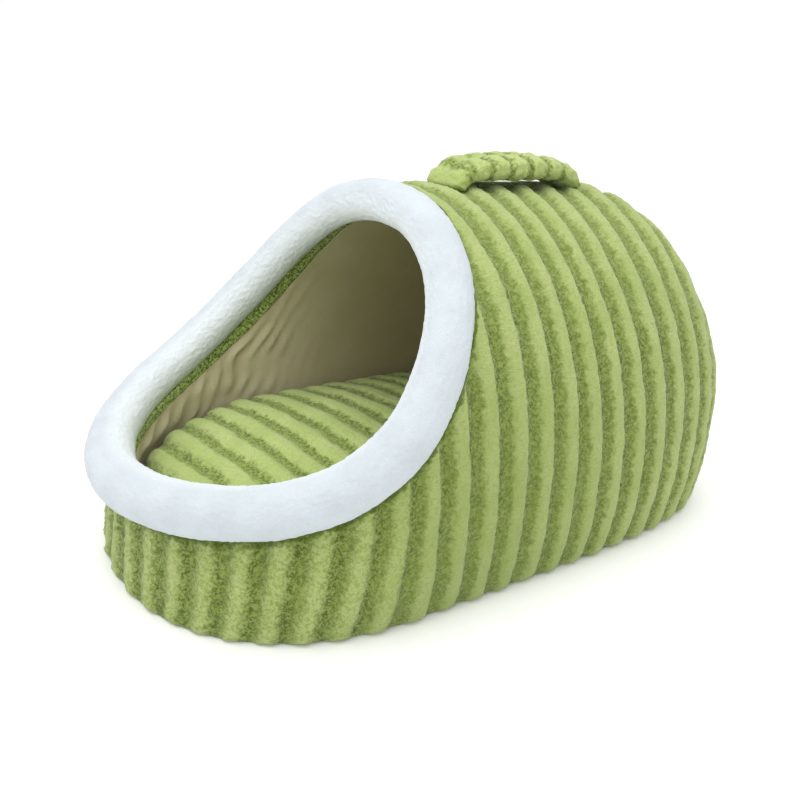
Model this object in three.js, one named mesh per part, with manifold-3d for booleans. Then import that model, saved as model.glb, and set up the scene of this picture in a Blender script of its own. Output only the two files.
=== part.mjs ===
// A soft pet bed shaped as a low tunnel: a ribbed plush cover with a slanted egg-shaped mouth,
// a stuffed roll round the mouth, a cloth lining, a loose crowned cushion and a padded carry handle.
// Millimetres, +Z up, mouth towards -Y. The origin is on the floor under the middle of the bed.

import * as THREE from "three";
import { mergeVertices } from "three/addons/utils/BufferGeometryUtils.js";
import Module from "manifold-3d";

const wasm = await Module();
wasm.setup();

// Outer form of the cover. Lengths run from the widest line, rear one way and front the other.
const cover = {
  halfWidth: 149,
  height: 249,
  rearLength: 316,
  frontLength: 141.6,
  ridgeRear: 236,       // how far back the ridge runs before the rear slopes down
  footWidth: 0.945,     // share of the width that is left at the floor
  footFront: 1.075,     // the low front leans out a little towards the floor
  widestAt: 51,         // height at which each measure is reached
  rearFullAt: 102,
  frontFullAt: 146,
  rearPower: 5,         // roundness of the plan outline: 2 is an ellipse, more is squarer
  frontPowerFoot: 2.2,
  frontPower: 1.84,
  wall: 12,
};

// How the upper edges round off between the widest level and the ridge.
const widthRound = { rise: 2.6, shoulder: 2.22 };
const rearRound = { rise: 1.18, shoulder: 1.9 };

// The whole bed widens and sinks a little towards the rear, per millimetre of length.
const widenRear = 0.00004;
const riseRear = -0.000115;

// The mouth starts low over the front wall, stays flat, then climbs to the ridge, where the
// roll is set into the cover by topInset. A facing of growing width runs from under the roll
// to the lining.
const mouth = {
  frontHeight: 75,
  topAlong: 54,
  topInset: 12,
  lowShare: 0.27,
  climbPower: 3.5,
  steps: 18,
};

const rim = { radius: 16, steps: 56, sides: 12 };
const lining = { thickness: 2, lowEdge: 5.6 };
const facing = { thickness: 2.5, start: 6, lowReach: 18.5, topReach: 25 };
const base = { thickness: 5, inset: 13.5 };
const gap = 0.3;

const pad = {
  inset: 17,
  outlineLevel: 40,
  low: base.thickness + gap,
  centreAlong: 78,
  crownAlong: 43,      // where the cushion is fullest
  crownFade: 480,      // distance from there at which the fullness would be gone
};
// Rings of the cushion from its underside to its crown: it fills the bed from wall to wall.
const padRings = [
  { spread: 0.9, height: 0 },
  { spread: 0.97, height: 7 },
  { spread: 1, height: 22 },
  { spread: 1, height: 36 },
  { spread: 0.985, height: 46 },
  { spread: 0.93, height: 53 },
  { spread: 0.79, height: 60 },
  { spread: 0.56, height: 66.5 },
  { spread: 0.3, height: 71.5 },
];
const padCrown = 73.5;

const handle = {
  width: 48,
  thickness: 17,
  endThickness: 10,
  endWidth: 0.72,       // share of the width that is left at the rounded ends
  steps: 24,
  sides: 12,
  squareness: 3.2,
};
// Middle line of the handle: it stands on the ridge at both ends and arches low between them.
const handleRoute = [
  { along: 101.5, height: 252.7 },
  { along: 106, height: 255.3 },
  { along: 112, height: 258 },
  { along: 121, height: 259.7 },
  { along: 138, height: 260.3 },
  { along: 165, height: 260.3 },
  { along: 182, height: 259.9 },
  { along: 193, height: 258.6 },
  { along: 202, height: 256 },
  { along: 208, height: 252.3 },
  { along: 211.5, height: 249.6 },
];

const planSteps = 48;
const levelSteps = 13;
const topShare = 0.9985;

const clamp01 = (value) => Math.min(Math.max(value, 0), 1);
const roundOff = (share, round) =>
  (1 - clamp01(share) ** round.rise) ** (1 / round.shoulder);
const footBulge = (level, fullAt, foot) =>
  foot + (1 - foot) * (1 - clamp01((fullAt - level) / fullAt) ** 2);

function halfWidthAt(level) {
  if (level <= cover.widestAt) {
    return cover.halfWidth * footBulge(level, cover.widestAt, cover.footWidth);
  }
  const share = (level - cover.widestAt) / (cover.height - cover.widestAt);
  return cover.halfWidth * roundOff(share, widthRound);
}

function rearAt(level) {
  if (level <= cover.rearFullAt) return cover.rearLength;
  const share = (level - cover.rearFullAt) / (cover.height - cover.rearFullAt);
  return cover.ridgeRear + (cover.rearLength - cover.ridgeRear) * roundOff(share, rearRound);
}

function frontAt(level) {
  return cover.frontLength * footBulge(level, cover.frontFullAt, cover.footFront);
}

function frontPowerAt(level) {
  const share = clamp01(level / mouth.frontHeight);
  return cover.frontPowerFoot + (cover.frontPower - cover.frontPowerFoot) * share;
}

// The origin is at the middle of the overall length, from the roll's front to the rear.
const middle = (cover.rearLength - frontAt(mouth.frontHeight) - rim.radius) / 2;

// Carries a point from the plain form to the bed, which rises and widens towards the rear.
function place(across, along, level) {
  const x = across * (1 + widenRear * along);
  const z = level * (1 + riseRear * (along - mouth.topAlong));
  return new THREE.Vector3(x, along - middle, z);
}

// One point of the cover's plan outline at a level, drawn in by an inset on every side.
function outlinePoint(angle, level, inset) {
  const towardsRear = Math.cos(angle);
  const reach = towardsRear >= 0 ? rearAt(level) : frontAt(level);
  const fullReach = towardsRear >= 0 ? cover.rearLength : cover.frontLength;
  const power = towardsRear >= 0 ? cover.rearPower : frontPowerAt(level);
  const curve = (value) => Math.sign(value) * Math.abs(value) ** (2 / power);
  return {
    across: curve(Math.sin(angle)) * halfWidthAt(level) * (1 - inset / cover.halfWidth),
    along: curve(towardsRear) * reach * (1 - inset / fullReach),
  };
}

// A closed solid from rings of points, low ring first, each with the same number of points
// running the same way round. The first and last ring are closed with a fan to a middle point.
function ringSolid(rings, lowMiddle, highMiddle) {
  const count = rings[0].length;
  const points = [...rings.flat(), lowMiddle, highMiddle];
  const low = points.length - 2;
  const high = points.length - 1;
  const lastRing = (rings.length - 1) * count;
  const faces = [];
  for (let i = 0; i < count; i += 1) {
    const next = (i + 1) % count;
    for (let ring = 0; ring < rings.length - 1; ring += 1) {
      const here = ring * count;
      const above = here + count;
      faces.push(here + i, here + next, above + next);
      faces.push(here + i, above + next, above + i);
    }
    faces.push(low, next, i);
    faces.push(high, lastRing + i, lastRing + next);
  }
  return meshGeometry(points, faces);
}

function meshGeometry(points, faces) {
  const geometry = new THREE.BufferGeometry().setFromPoints(points);
  geometry.setIndex(faces);
  return geometry;
}

// The plain closed form of the bed, drawn in by an inset, its foot at the given height.
function bodyForm(inset, foot = 0) {
  const drawnHeight = 1 - inset / cover.height;
  const rings = [];
  for (let step = foot < 0 ? -1 : 0; step <= levelSteps; step += 1) {
    const share = Math.sin((Math.max(step, 0) / levelSteps) * Math.PI / 2) * topShare;
    const level = cover.height * share;
    const ring = [];
    for (let i = 0; i < planSteps; i += 1) {
      const angle = (-i / planSteps) * Math.PI * 2;
      const { across, along } = outlinePoint(angle, level, inset);
      const point = place(across, along, level * drawnHeight);
      if (step < 0) point.z = foot;
      ring.push(point);
    }
    rings.push(ring);
  }
  const topLevel = cover.height * topShare * drawnHeight;
  return ringSolid(rings, place(0, 0, 0).setZ(foot), place(0, 0, topLevel));
}

// Side view of the mouth, from the low front up to the ridge.
const mouthFront = -frontAt(mouth.frontHeight);
const mouthRise = cover.height - mouth.topInset - mouth.frontHeight;

function mouthSide(share) {
  const climb = mouth.lowShare * share + (1 - mouth.lowShare) * share ** mouth.climbPower;
  return {
    along: mouthFront + (mouth.topAlong - mouthFront) * share,
    level: mouth.frontHeight + mouthRise * climb,
    inset: mouth.topInset * climb,
  };
}

// Half width at a place on the side view, under the cover's surface by an inset.
function acrossAt({ along, level, inset }) {
  const outerLevel = level * cover.height / (cover.height - inset);
  const reach = along >= 0 ? rearAt(outerLevel) : frontAt(outerLevel);
  const power = along >= 0 ? cover.rearPower : frontPowerAt(outerLevel);
  const left = Math.max(1 - clamp01(Math.abs(along) / reach) ** power, 0);
  return halfWidthAt(outerLevel) * (1 - inset / cover.halfWidth) * left ** (1 / power);
}

// The closed curve that the middle of the stuffed roll follows, evenly spaced.
function mouthCurve() {
  const side = [];
  for (let i = 0; i <= mouth.steps; i += 1) {
    const spot = mouthSide((1 - Math.cos((i / mouth.steps) * Math.PI)) / 2);
    const atEnd = i === 0 || i === mouth.steps;
    side.push(place(atEnd ? 0 : acrossAt(spot), spot.along, spot.level));
  }
  const mirrored = side.slice(1, -1).reverse().map((p) => new THREE.Vector3(-p.x, p.y, p.z));
  const curve = new THREE.CatmullRomCurve3([...side, ...mirrored], true);
  return curve.getSpacedPoints(rim.steps).slice(0, rim.steps);
}

// A closed ring of round section along a closed run of points.
function loopTube(points, radius, sides) {
  const count = points.length;
  const centre = points.reduce((sum, p) => sum.add(p), new THREE.Vector3()).divideScalar(count);
  const vertices = [];
  const faces = [];
  points.forEach((point, i) => {
    const ahead = points[(i + 1) % count].clone().sub(points[(i + count - 1) % count]).normalize();
    const outward = point.clone().sub(centre);
    outward.addScaledVector(ahead, -outward.dot(ahead)).normalize();
    const sideways = new THREE.Vector3().crossVectors(ahead, outward);
    for (let j = 0; j < sides; j += 1) {
      const angle = (j / sides) * Math.PI * 2;
      const vertex = point.clone().addScaledVector(outward, Math.cos(angle) * radius);
      vertices.push(vertex.addScaledVector(sideways, Math.sin(angle) * radius));
      const a = i * sides + j;
      const b = i * sides + (j + 1) % sides;
      const c = ((i + 1) % count) * sides + j;
      const d = ((i + 1) % count) * sides + (j + 1) % sides;
      faces.push(a, b, d, a, d, c);
    }
  });
  return meshGeometry(vertices, faces);
}

// Everything in front of and above the mouth's side view, moved away from the mouth by a reach
// that grows from its low front to its top.
function mouthCutter(lowReach, topReach) {
  const beyond = 300;
  const side = [];
  for (let i = 0; i <= mouth.steps; i += 1) {
    const { along, level } = mouthSide(i / mouth.steps);
    const point = place(0, along, level);
    side.push(new THREE.Vector2(point.y, point.z));
  }
  const edge = side.map((point, i) => {
    const before = side[Math.max(i - 1, 0)];
    const after = side[Math.min(i + 1, side.length - 1)];
    const ahead = after.clone().sub(before).normalize();
    const reach = lowReach + (topReach - lowReach) * (i / mouth.steps);
    return point.clone().add(new THREE.Vector2(ahead.y, -ahead.x).multiplyScalar(reach));
  });
  const first = edge[0].clone().sub(edge[1]).normalize().multiplyScalar(beyond).add(edge[0]);
  const last = edge.at(-1).clone().sub(edge.at(-2)).normalize();
  const top = last.multiplyScalar(beyond).add(edge.at(-1));
  const outline = new THREE.Shape([first, ...edge, top, new THREE.Vector2(first.x, top.y)]);
  const geometry = new THREE.ExtrudeGeometry(outline, { depth: beyond * 2, bevelEnabled: false });
  geometry.translate(0, 0, -beyond);
  const alongY = new THREE.Vector3(0, 1, 0);
  const alongZ = new THREE.Vector3(0, 0, 1);
  const alongX = new THREE.Vector3(1, 0, 0);
  return geometry.applyMatrix4(new THREE.Matrix4().makeBasis(alongY, alongZ, alongX));
}

function solidOf(geometry) {
  const bare = new THREE.BufferGeometry();
  bare.setAttribute("position", geometry.getAttribute("position").clone());
  if (geometry.index) bare.setIndex(geometry.index.clone());
  const merged = mergeVertices(bare, 1e-4);
  return new wasm.Manifold(new wasm.Mesh({
    numProp: 3,
    vertProperties: new Float32Array(merged.getAttribute("position").array),
    triVerts: new Uint32Array(merged.index.array),
  }));
}

function geometryOf(solid) {
  const mesh = solid.getMesh();
  const geometry = new THREE.BufferGeometry();
  geometry.setAttribute("position", new THREE.BufferAttribute(mesh.vertProperties, 3));
  geometry.setIndex(new THREE.BufferAttribute(mesh.triVerts, 1));
  return geometry;
}

const rimLine = mouthCurve();
const rimRoom = solidOf(loopTube(rimLine, rim.radius + gap, rim.sides));

function coverGeometry() {
  return geometryOf(
    solidOf(bodyForm(0))
      .subtract(solidOf(bodyForm(cover.wall, -cover.wall)))
      .subtract(solidOf(mouthCutter(0, 0)))
      .subtract(rimRoom),
  );
}

// A skin of even thickness that lies against the inside of the cover.
function insideSkin(thickness) {
  const outside = cover.wall + gap;
  return solidOf(bodyForm(outside))
    .subtract(solidOf(bodyForm(outside + thickness, -cover.wall)))
    .subtract(rimRoom);
}

function liningGeometry() {
  const below = new THREE.BoxGeometry(1000, 1000, lining.lowEdge * 2);
  return geometryOf(
    insideSkin(lining.thickness)
      .subtract(solidOf(mouthCutter(facing.lowReach + gap, facing.topReach + gap)))
      .subtract(solidOf(below)),
  );
}

function facingGeometry() {
  const band = solidOf(mouthCutter(facing.lowReach, facing.topReach))
    .subtract(solidOf(mouthCutter(facing.start, facing.start)));
  return geometryOf(insideSkin(facing.thickness).intersect(band));
}

function baseGeometry() {
  const ring = (height) => {
    const points = [];
    for (let i = 0; i < planSteps; i += 1) {
      const angle = (-i / planSteps) * Math.PI * 2;
      const { across, along } = outlinePoint(angle, 0, base.inset);
      points.push(place(across, along, 0).setZ(height));
    }
    return points;
  };
  const centre = place(0, 0, 0);
  return ringSolid([ring(0), ring(base.thickness)], centre, centre.clone().setZ(base.thickness));
}

function cushionGeometry() {
  const rings = padRings.map(({ spread, height }) => {
    const points = [];
    for (let i = 0; i < planSteps; i += 1) {
      const angle = (-i / planSteps) * Math.PI * 2;
      const { across, along } = outlinePoint(angle, pad.outlineLevel, pad.inset);
      const drawnAlong = pad.centreAlong + (along - pad.centreAlong) * spread;
      const outer = place(across, along, 0);
      const swell = 1 - ((drawnAlong - pad.crownAlong) / pad.crownFade) ** 2;
      const z = pad.low + height * swell;
      points.push(new THREE.Vector3(outer.x * spread, drawnAlong - middle, z));
    }
    return points;
  });
  const centre = new THREE.Vector3(0, pad.centreAlong - middle, pad.low);
  return ringSolid(rings, centre, centre.clone().setZ(pad.low + padCrown));
}

function handleGeometry() {
  const route = new THREE.CatmullRomCurve3(
    handleRoute.map(({ along, height }) => new THREE.Vector3(0, along - middle, height)),
  );
  const across = new THREE.Vector3(1, 0, 0);
  const power = 2 / handle.squareness;
  const curve = (value) => Math.sign(value) * Math.abs(value) ** power;
  const rings = [];
  for (let step = 0; step <= handle.steps; step += 1) {
    const point = route.getPointAt(step / handle.steps);
    const ahead = route.getTangentAt(step / handle.steps);
    const upward = new THREE.Vector3().crossVectors(across, ahead);
    const fullness = Math.sqrt(Math.sin((step / handle.steps) * Math.PI));
    const thickness = handle.endThickness + (handle.thickness - handle.endThickness) * fullness;
    const width = handle.width * (handle.endWidth + (1 - handle.endWidth) * fullness);
    const ring = [];
    for (let j = 0; j < handle.sides; j += 1) {
      const angle = (j / handle.sides) * Math.PI * 2;
      const wide = curve(Math.cos(angle)) * width / 2;
      const high = curve(Math.sin(angle)) * thickness / 2;
      ring.push(point.clone().addScaledVector(across, wide).addScaledVector(upward, high));
    }
    rings.push(ring.reverse());
  }
  return ringSolid(rings, route.getPointAt(0), route.getPointAt(1));
}

function cloth(color, roughness = 0.95) {
  return new THREE.MeshStandardMaterial({ color, roughness, metalness: 0 });
}

const greenPlush = 0xa8c66c;
const pieces = [
  { name: "outer_cover", make: coverGeometry, finish: cloth(greenPlush) },
  { name: "base_panel", make: baseGeometry, finish: cloth(0x6f7360) },
  { name: "lining", make: liningGeometry, finish: cloth(0xa39a7c, 0.9) },
  { name: "rim_facing", make: facingGeometry, finish: cloth(0x8fae55) },
  {
    name: "rim_roll",
    make: () => loopTube(rimLine, rim.radius, rim.sides),
    finish: cloth(0xe9ecf3),
  },
  { name: "cushion", make: cushionGeometry, finish: cloth(greenPlush) },
  { name: "carry_handle", make: handleGeometry, finish: cloth(greenPlush) },
];

const bed = new THREE.Group();
for (const { name, make, finish } of pieces) {
  const mesh = new THREE.Mesh(make(), finish);
  mesh.name = name;
  bed.add(mesh);
}

export default bed;
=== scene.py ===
import math

import bpy
import numpy as np
from mathutils import Matrix, Vector, noise


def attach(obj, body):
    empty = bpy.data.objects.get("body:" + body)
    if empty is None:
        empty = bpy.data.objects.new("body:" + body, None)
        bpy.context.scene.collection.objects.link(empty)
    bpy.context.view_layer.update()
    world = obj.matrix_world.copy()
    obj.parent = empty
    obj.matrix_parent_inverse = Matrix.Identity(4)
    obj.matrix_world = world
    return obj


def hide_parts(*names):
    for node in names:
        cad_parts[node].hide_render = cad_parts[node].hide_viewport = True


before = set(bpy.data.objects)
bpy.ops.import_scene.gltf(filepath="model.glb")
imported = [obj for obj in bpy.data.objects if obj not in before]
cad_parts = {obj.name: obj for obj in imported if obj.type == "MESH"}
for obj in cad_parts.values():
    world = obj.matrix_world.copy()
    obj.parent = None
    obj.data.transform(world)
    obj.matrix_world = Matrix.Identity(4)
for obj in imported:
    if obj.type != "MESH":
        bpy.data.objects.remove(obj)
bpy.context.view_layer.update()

bpy.ops.object.select_all(action="DESELECT")

# Camera at the photo's angle: metres and degrees, square picture.
view = {
    "azimuth": 55.93,
    "elevation": 22.30,
    "roll": 2.985,
    "distance": 0.6467,
    "fieldOfView": 52.748,
    "target": (-0.0193, 0.0066, 0.0770),
    "sensor": 36.0,  # millimetres
    "nearest": 0.01,
}


def makeCamera():
    azimuth, elevation, tilt = (math.radians(view[key]) for key in ("azimuth", "elevation", "roll"))
    back = Vector((
        math.sin(azimuth) * math.cos(elevation),
        -math.cos(azimuth) * math.cos(elevation),
        math.sin(elevation),
    ))
    level = Vector((math.cos(azimuth), math.sin(azimuth), 0))
    upright = back.cross(level)
    right = level * math.cos(tilt) + upright * math.sin(tilt)
    up = upright * math.cos(tilt) - level * math.sin(tilt)
    eye = Vector(view["target"]) + back * view["distance"]
    data = bpy.data.cameras.new("camera")
    data.sensor_width = view["sensor"]
    data.lens = view["sensor"] / 2 / math.tan(math.radians(view["fieldOfView"]) / 2)
    data.clip_start = view["nearest"]
    camera = bpy.data.objects.new("camera", data)
    bpy.context.collection.objects.link(camera)
    turned = Matrix((right, up, back)).transposed().to_4x4()
    camera.matrix_world = Matrix.Translation(eye) @ turned
    bpy.context.scene.camera = camera


makeCamera()
print("camera ready")

# The bed's plain form. Lengths run from its widest line, rear one way and front the other.
# Powers shape the outline from above, and rise and shoulder shape it from the side and front.
form = {
    "halfWidth": 0.149,
    "height": 0.249,
    "rearLength": 0.316,
    "frontLength": 0.1416,
    "ridgeRear": 0.236,
    "wall": 0.012,  # plush, backing and padding
    "footWidth": 0.945,  # share of the full width at the floor
    "footFront": 1.075,  # share of the front length at the floor
    "widestAt": 0.051,
    "rearFullAt": 0.102,
    "frontFullAt": 0.146,
    "rearPower": 5.0,
    "frontPowerFoot": 2.2,
    "frontPower": 1.84,
    "widthRise": 2.6,
    "widthShoulder": 2.22,
    "rearRise": 1.18,
    "rearShoulder": 1.9,
    "widenRear": 0.04,
    "riseRear": -0.115,
}
mouth = {
    "frontHeight": 0.0728,
    "topAlong": 0.054,
    "topInset": 0.012,
    "lowShare": 0.27,
    "climbPower": 3.5,
    "rollRadius": 0.016,
    "samples": 400,
    "cutSamples": 300,
    "cutBeyond": 0.3,  # how far the cut for the lining runs on past both its ends
}
samePlace = 1e-9  # metres between two points that count as one
onMiddle = 1e-7  # metres from the middle line that count as on it
tiny = 1e-12


# 0 up to low, 1 from high on and smooth between them
def smoothStep(value, low, high):
    share = np.clip((value - low) / (high - low), 0, 1)
    return share * share * (3 - 2 * share)


def unit(vectors):
    return vectors / np.maximum(np.linalg.norm(vectors, axis=-1), tiny)[..., None]


# the length so far at each point of an open line
def lengthsAlong(line):
    steps = np.linalg.norm(np.diff(line, axis=0), axis=1)
    return np.concatenate([[0], np.cumsum(steps)])


# the same open line as count points, evenly spaced along it; past its end they stay there
def evenly(points, count, length=None):
    run = lengthsAlong(points)
    want = np.linspace(0, length or run[-1], count)
    return np.stack([np.interp(want, run, points[:, k]) for k in range(points.shape[1])], -1)


# 1 at share 0 falling to 0 at share 1, full at first where rise is high
def roundOff(share, rise, shoulder):
    return (1 - np.clip(share, 0, 1) ** rise) ** (1 / shoulder)


# goes from foot at the floor to 1 at fullAt, in a soft curve
def footBulge(level, fullAt, foot):
    return foot + (1 - foot) * (1 - np.clip((fullAt - level) / fullAt, 0, None) ** 2)


def halfWidthAt(level):
    low = form["halfWidth"] * footBulge(level, form["widestAt"], form["footWidth"])
    share = (level - form["widestAt"]) / (form["height"] - form["widestAt"])
    high = form["halfWidth"] * roundOff(share, form["widthRise"], form["widthShoulder"])
    return np.where(level <= form["widestAt"], low, high)


def rearAt(level):
    share = (level - form["rearFullAt"]) / (form["height"] - form["rearFullAt"])
    drop = form["rearLength"] - form["ridgeRear"]
    high = form["ridgeRear"] + drop * roundOff(share, form["rearRise"], form["rearShoulder"])
    return np.where(level <= form["rearFullAt"], form["rearLength"], high)


def frontAt(level):
    return form["frontLength"] * footBulge(level, form["frontFullAt"], form["footFront"])


def frontPowerAt(level):
    share = np.clip(level / mouth["frontHeight"], 0, 1)
    return form["frontPowerFoot"] + (form["frontPower"] - form["frontPowerFoot"]) * share


# along, from the widest line to the middle of the bed's length
middle = float(form["rearLength"] - frontAt(mouth["frontHeight"]) - mouth["rollRadius"]) / 2


def signedPower(value, power):
    return np.sign(value) * np.abs(value) ** power


# across and along on the cover's outline, angle 0 at the rear
def outlinePoint(angle, level):
    rearward = np.cos(angle) >= 0
    reach = np.where(rearward, rearAt(level), frontAt(level))
    power = np.where(rearward, form["rearPower"], frontPowerAt(level))
    across = signedPower(np.sin(angle), 2 / power) * halfWidthAt(level)
    return across, signedPower(np.cos(angle), 2 / power) * reach


def acrossAt(along, level):
    reach = np.where(along >= 0, rearAt(level), frontAt(level))
    power = np.where(along >= 0, form["rearPower"], frontPowerAt(level))
    left = 1 - np.clip(np.abs(along) / reach, 0, 1) ** power
    return halfWidthAt(level) * left ** (1 / power)


# the form moved in by an inset on every side; plain is across, along, level
def drawIn(plain, inset):
    reach = np.where(plain[..., 1] >= 0, form["rearLength"], form["frontLength"])
    shares = np.stack([
        1 - inset / form["halfWidth"] + 0 * reach,
        1 - inset / reach,
        1 - inset / form["height"] + 0 * reach,
    ], -1)
    return plain * shares


# plain points in the shared frame, where the bed widens and sinks a little to the rear
def place(plain):
    across, along, level = plain[..., 0], plain[..., 1], plain[..., 2]
    return np.stack([
        across * (1 + form["widenRear"] * along),
        along - middle,
        level * (1 + form["riseRear"] * (along - mouth["topAlong"])),
    ], -1)


# side view of the roll's middle line: along, level and its depth in the cover
def mouthSide(share):
    climb = mouth["lowShare"] * share + (1 - mouth["lowShare"]) * share ** mouth["climbPower"]
    front = -frontAt(mouth["frontHeight"])
    rise = form["height"] - mouth["topInset"] - mouth["frontHeight"]
    along = front + (mouth["topAlong"] - front) * share
    return along, mouth["frontHeight"] + rise * climb, mouth["topInset"] * climb


# the closed line at the middle of the stuffed roll, evenly spaced
def mouthLine(count):
    share = (1 - np.cos(np.linspace(0, math.pi, mouth["samples"]))) / 2
    along, level, inset = mouthSide(share)
    outer = level * form["height"] / (form["height"] - inset)
    across = acrossAt(along, outer) * (1 - inset / form["halfWidth"])
    across[[0, -1]] = 0
    side = place(np.stack([across, along, level], -1))
    other = side[-2:0:-1] * (-1, 1, 1)
    return evenly(np.concatenate([side, other, side[:1]]), count + 1)[:-1]


# Ribs of the plush and the cover that they run round. Lengths run round the outline at
# widestAt, from the middle of the rear, and ribs are counted from the first groove. Noise is
# given in layers of share, size and seed.
ribs = {
    "pitch": 0.0224,
    "firstGroove": 0.1704,
    "hoopLean": -0.0025,  # how far the hoops' tops stand in front of their feet
    "spread": 0.8835,  # the hoops' spacing at the floor against that at the ridge
    "spreadFrom": 0.1,
    "shift": -0.1,  # pitches
    "shiftFades": (12, 17),  # ribs
    "lean": 0.93,  # pitches by which a groove over the rear leans forward
    "leanFades": (2.5, 9.0),  # ribs
    "leanRises": (0.05, 0.235),  # metres up the side
    "leanEnds": 0.09,  # metres further up
    "frontShift": 0.35,
    "frontShiftFrom": 17,  # ribs
    "crestShare": 0.25,
    "edgeShare": 0.1,
    "pile": 0.0006,
    "depth": 0.0030,
    "round": 0.0009,
    "rearFade": 0.9,  # ribs
    "footFade": 0.004,
    "frontSoft": (11, 16),  # ribs
    "frontShallow": 0.35,
    "wander": 0.0011,
    "wanderNoise": ((0.7, 0.035, 0), (0.3, 0.012, 2)),
    "lumpNoise": ((0.0008, 0.018, 3),),
    "loops": 0.0016,
    "loopNoise": ((0.75, 0.0042, 4), (0.5, 0.0027, 19)),
    "crestLoops": 0.45,
    "footTurn": 0.006,
    "tuck": 0.0148,
    "rollNear": 0.03,  # how far behind the mouth's top a line can still meet the roll
    "perRib": 11,
    "rearColumns": 84,
    "rows": 128,
    "innerRows": 12,
    "rowSlope": 1.5,  # how much a line's length may change over one metre of outline
    "planSamples": 4001,
    "lowSamples": 160,
    "highSamples": 600,
    "highCrowding": 5,
    "halvings": 60,
    "profileSamples": (50, 400),
    "frontSamples": 700,
    "frontReach": 0.9,
}
seedStep = (17.3, 5.1, 9.7)


# smooth noise from -1 to 1 at each point, for features of about that size
def noiseAt(points, size, seed=0.0):
    shift = Vector([seed * step for step in seedStep])
    flat = points.reshape(-1, 3) / size
    return np.array([noise.noise(Vector(p) + shift) for p in flat]).reshape(points.shape[:-1])


# layers of noise, added up
def noiseOf(points, layers):
    return sum(share * noiseAt(points, size, seed) for share, size, seed in layers)


# angle and length round the outline at widestAt, rear to front, and the place along the bed
def planLengths():
    angle = np.linspace(0, math.pi, ribs["planSamples"])
    level = np.full_like(angle, form["widestAt"])
    across, along = outlinePoint(angle, level)
    return angle, lengthsAlong(place(np.stack([across, along, level], -1))), along


# half a hoop over the bed, floor to ridge; hoop is where it stands, along the bed
def hoopLine(hoop, leanShare):
    spread = (ribs["spread"] - 1) * leanShare
    lean = ribs["hoopLean"] * leanShare

    def alongAt(level):
        rise = (level / form["height"]) ** 2
        return (hoop - rise * (lean - ribs["spreadFrom"] * spread)) / (1 + spread * rise)

    low, top = form["rearFullAt"], form["height"]
    if alongAt(top) > form["ridgeRear"]:
        # it ends on the slope of the rear, at a level found by halving
        bottom = low
        for _ in range(ribs["halvings"]):
            half = (bottom + top) / 2
            if rearAt(half) > alongAt(half):
                bottom = half
            else:
                top = half
    wall = np.linspace(0, low, ribs["lowSamples"])[:-1]
    crowded = np.linspace(1, 0, ribs["highSamples"]) ** ribs["highCrowding"]
    level = np.concatenate([wall, top - (top - low) * crowded])
    along = alongAt(level)
    across = acrossAt(along, level)
    across[-1] = 0
    return np.stack([across, along, level], -1)


# levels up the middle of the rear, floor to ridge, and the length so far at each
def rearProfile():
    low, high = ribs["profileSamples"]
    wall = np.linspace(0, form["rearFullAt"], low)[:-1]
    crowded = np.linspace(1, 0, high) ** 2
    slope = form["height"] - (form["height"] - form["rearFullAt"]) * crowded
    level = np.concatenate([wall, slope])
    return level, lengthsAlong(np.stack([rearAt(level), level], -1))


# lines up the right half of the cover, rear to front, each with its place round the outline
def coverColumns():
    angle, run, planAlong = planLengths()
    length = run[-1]
    first = ribs["firstGroove"]
    count = int(round((length - first) / ribs["pitch"] * ribs["perRib"]))
    ahead = np.linspace(first, length, count + 1)
    behind = first * np.linspace(0, 1, ribs["rearColumns"])[1:-1]
    rise = (form["widestAt"] / form["height"]) ** 2

    def hoopOf(s):
        along = np.interp(s, run, planAlong)
        leanShare = float(np.clip(along / mouth["topAlong"], 0, 1))
        bend = ribs["hoopLean"] + (along - ribs["spreadFrom"]) * (ribs["spread"] - 1)
        return along + bend * leanShare * rise, leanShare

    # behind the first groove, the lines pass little by little from its hoop to the rear's middle
    rearmost = hoopLine(*hoopOf(first))
    profileLevel, climb = rearProfile()
    full = np.clip(rearmost[:, 0] / np.maximum(halfWidthAt(rearmost[:, 2]), samePlace), 0, 1)
    halfPower = form["rearPower"] / 2
    rearward = (rearmost[:, 1] / rearAt(rearmost[:, 2])) ** halfPower
    baseRun = np.interp(np.arctan2(full ** halfPower, rearward), angle, run)
    baseClimb = np.interp(rearmost[:, 2], profileLevel, climb)
    columns = []
    for s in behind:
        share = s / first
        level = np.interp(baseClimb * share, climb, profileLevel)
        across, along = outlinePoint(np.interp(baseRun * share, run, angle), level)
        across[-1] = 0
        columns.append((s, np.stack([across, along, level], -1)))
    for s in ahead:
        along = np.interp(s, run, planAlong)
        if along >= 0:
            columns.append((s, hoopLine(*hoopOf(s))))
            continue
        level = np.linspace(0, form["height"] * ribs["frontReach"], ribs["frontSamples"])
        across, along = outlinePoint(np.full_like(level, np.interp(s, run, angle)), level)
        if s == length:
            across = across * 0
        columns.append((s, np.stack([across, along, level], -1)))
    return columns


rollLine = mouthLine(mouth["samples"])


def gapToRoll(points):
    return np.linalg.norm(points[:, None] - rollLine[None], axis=2).min(1)


# the mouth's side view moved back into the bed, as placed points (y, z)
def sideCut(reach):
    share = np.linspace(0, 1, mouth["cutSamples"])
    along, level, _ = mouthSide(share)
    line = place(np.stack([share * 0, along, level], -1))[:, 1:]
    ahead = unit(np.gradient(line, axis=0))
    away = np.stack([ahead[:, 1], -ahead[:, 0]], -1)
    return line + away * (reach[0] + (reach[1] - reach[0]) * share ** 2)[:, None]


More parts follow.
